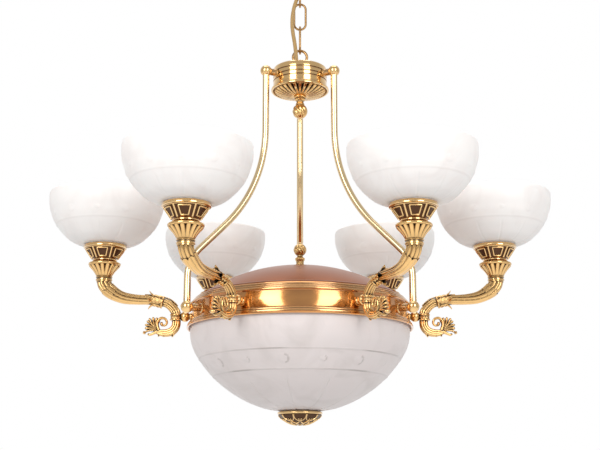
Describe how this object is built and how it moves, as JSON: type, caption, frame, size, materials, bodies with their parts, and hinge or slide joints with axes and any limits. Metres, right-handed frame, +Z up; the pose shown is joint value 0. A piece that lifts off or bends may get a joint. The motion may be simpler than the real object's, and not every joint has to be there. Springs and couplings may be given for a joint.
{
  "type": "chandelier",
  "caption": "Chain-hung chandelier: brass ring with a large glass bowl below, a domed lid above and curved cast arms that each carry an upward glass cup and lamp.",
  "frame": {"origin": "on the ceiling plane, on the axis of the fitting, midway between the two fixing slots of its bracket", "axes": "+Z up, against the ceiling; +X along the ceiling bracket and the first arm; the front is -Y"},
  "size_m": [0.882, 0.7906, 0.9466],
  "materials": {
    "steel": "zinc-plated, satin",
    "brass": "brushed and lacquered",
    "cast_brass": "cast, darkened in the hollows and polished on the raised parts",
    "copper_lid": "rosy bronze, satin",
    "dark_cast": "dark antique casting",
    "glass": "milky alabaster glass, satin",
    "bowl_glass": "milky alabaster glass, satin",
    "bulb": "opal bulb with a metal cap",
    "porcelain": "glazed",
    "plastic": "matte",
    "cord": "flexible sheath",
    "felt": "felt"
  },
  "bodies": {
    "ceiling_fitting": {"ceiling_bracket": "steel", "bracket_nuts": "steel", "terminal_block": "plastic", "canopy": "brass", "canopy_loop": "brass", "canopy_bush": "plastic", "cord": "cord"},
    "link_1": {"chain_link_1": "brass"},
    "link_2": {"chain_link_2": "brass"},
    "link_3": {"chain_link_3": "brass"},
    "link_4": {"chain_link_4": "brass"},
    "fixture": {"hub_loop": "brass", "hub_bush": "plastic", "hub_drum": "brass", "hub_dish": "dark_cast", "hub_finial": "cast_brass", "rod_balls": "brass", "ring_band": "brass", "ring_spider": "steel", "dome_lid": "copper_lid", "dome_finial": "cast_brass", "centre_tube": "steel", "tube_nuts": "steel", "lamp_plate": "steel", "bowl_lampholders": "porcelain", "bowl_bulbs": "bulb", "bowl_glass": "bowl_glass", "bowl_seal": "felt", "frame_nuts": "steel", "cup_lampholders": "porcelain", "shade_clamp_rings": "plastic", "rod_1": "brass", "rod_2": "brass", "rod_3": "brass", "arm_1": "cast_brass", "shade_holder_1": "cast_brass", "glass_cup_1": "glass", "arm_2": "cast_brass", "shade_holder_2": "cast_brass", "glass_cup_2": "glass", "arm_3": "cast_brass", "shade_holder_3": "cast_brass", "glass_cup_3": "glass", "arm_4": "cast_brass", "shade_holder_4": "cast_brass", "glass_cup_4": "glass", "arm_5": "cast_brass", "shade_holder_5": "cast_brass", "glass_cup_5": "glass", "arm_6": "cast_brass", "shade_holder_6": "cast_brass", "glass_cup_6": "glass"},
    "cap": {"bowl_cap": "dark_cast"},
    "lamp_1": {"bulb_1": "bulb"},
    "lamp_2": {"bulb_2": "bulb"},
    "lamp_3": {"bulb_3": "bulb"},
    "lamp_4": {"bulb_4": "bulb"},
    "lamp_5": {"bulb_5": "bulb"},
    "lamp_6": {"bulb_6": "bulb"}
  },
  "joints": [
    {"name": "canopy_to_link_1", "type": "hinge", "parent": "ceiling_fitting", "child": "link_1", "pos_m": [0, 0, -0.094], "axis": [0, 1, 0], "range_deg": [-10, 10]},
    {"name": "link_1_to_link_2", "type": "hinge", "parent": "link_1", "child": "link_2", "pos_m": [0, 0, -0.1394], "axis": [1, 0, 0], "range_deg": [-10, 10]},
    {"name": "link_2_to_link_3", "type": "hinge", "parent": "link_2", "child": "link_3", "pos_m": [0, 0, -0.1853], "axis": [0, 1, 0], "range_deg": [-10, 10], "deforming": ["cord"]},
    {"name": "link_3_to_link_4", "type": "hinge", "parent": "link_3", "child": "link_4", "pos_m": [0, 0, -0.2312], "axis": [1, 0, 0], "range_deg": [-10, 10]},
    {"name": "link_4_to_hub", "type": "hinge", "parent": "link_4", "child": "fixture", "pos_m": [0, 0, -0.2771], "axis": [0, 1, 0], "range_deg": [-10, 10]},
    {"name": "cap_turn", "type": "hinge", "parent": "fixture", "child": "cap", "pos_m": [0, 0, -0.94], "axis": [0, 0, 1], "continuous": true},
    {"name": "bulb_1_turn", "type": "hinge", "parent": "fixture", "child": "lamp_1", "pos_m": [0.341, 0, -0.6], "axis": [0, 0, 1], "continuous": true},
    {"name": "bulb_2_turn", "type": "hinge", "parent": "fixture", "child": "lamp_2", "pos_m": [0.1705, 0.29531, -0.6], "axis": [0, 0, 1], "continuous": true},
    {"name": "bulb_3_turn", "type": "hinge", "parent": "fixture", "child": "lamp_3", "pos_m": [-0.1705, 0.29531, -0.6], "axis": [0, 0, 1], "continuous": true},
    {"name": "bulb_4_turn", "type": "hinge", "parent": "fixture", "child": "lamp_4", "pos_m": [-0.341, 0, -0.6], "axis": [0, 0, 1], "continuous": true},
    {"name": "bulb_5_turn", "type": "hinge", "parent": "fixture", "child": "lamp_5", "pos_m": [-0.1705, -0.29531, -0.6], "axis": [0, 0, 1], "continuous": true},
    {"name": "bulb_6_turn", "type": "hinge", "parent": "fixture", "child": "lamp_6", "pos_m": [0.1705, -0.29531, -0.6], "axis": [0, 0, 1], "continuous": true}
  ]
}
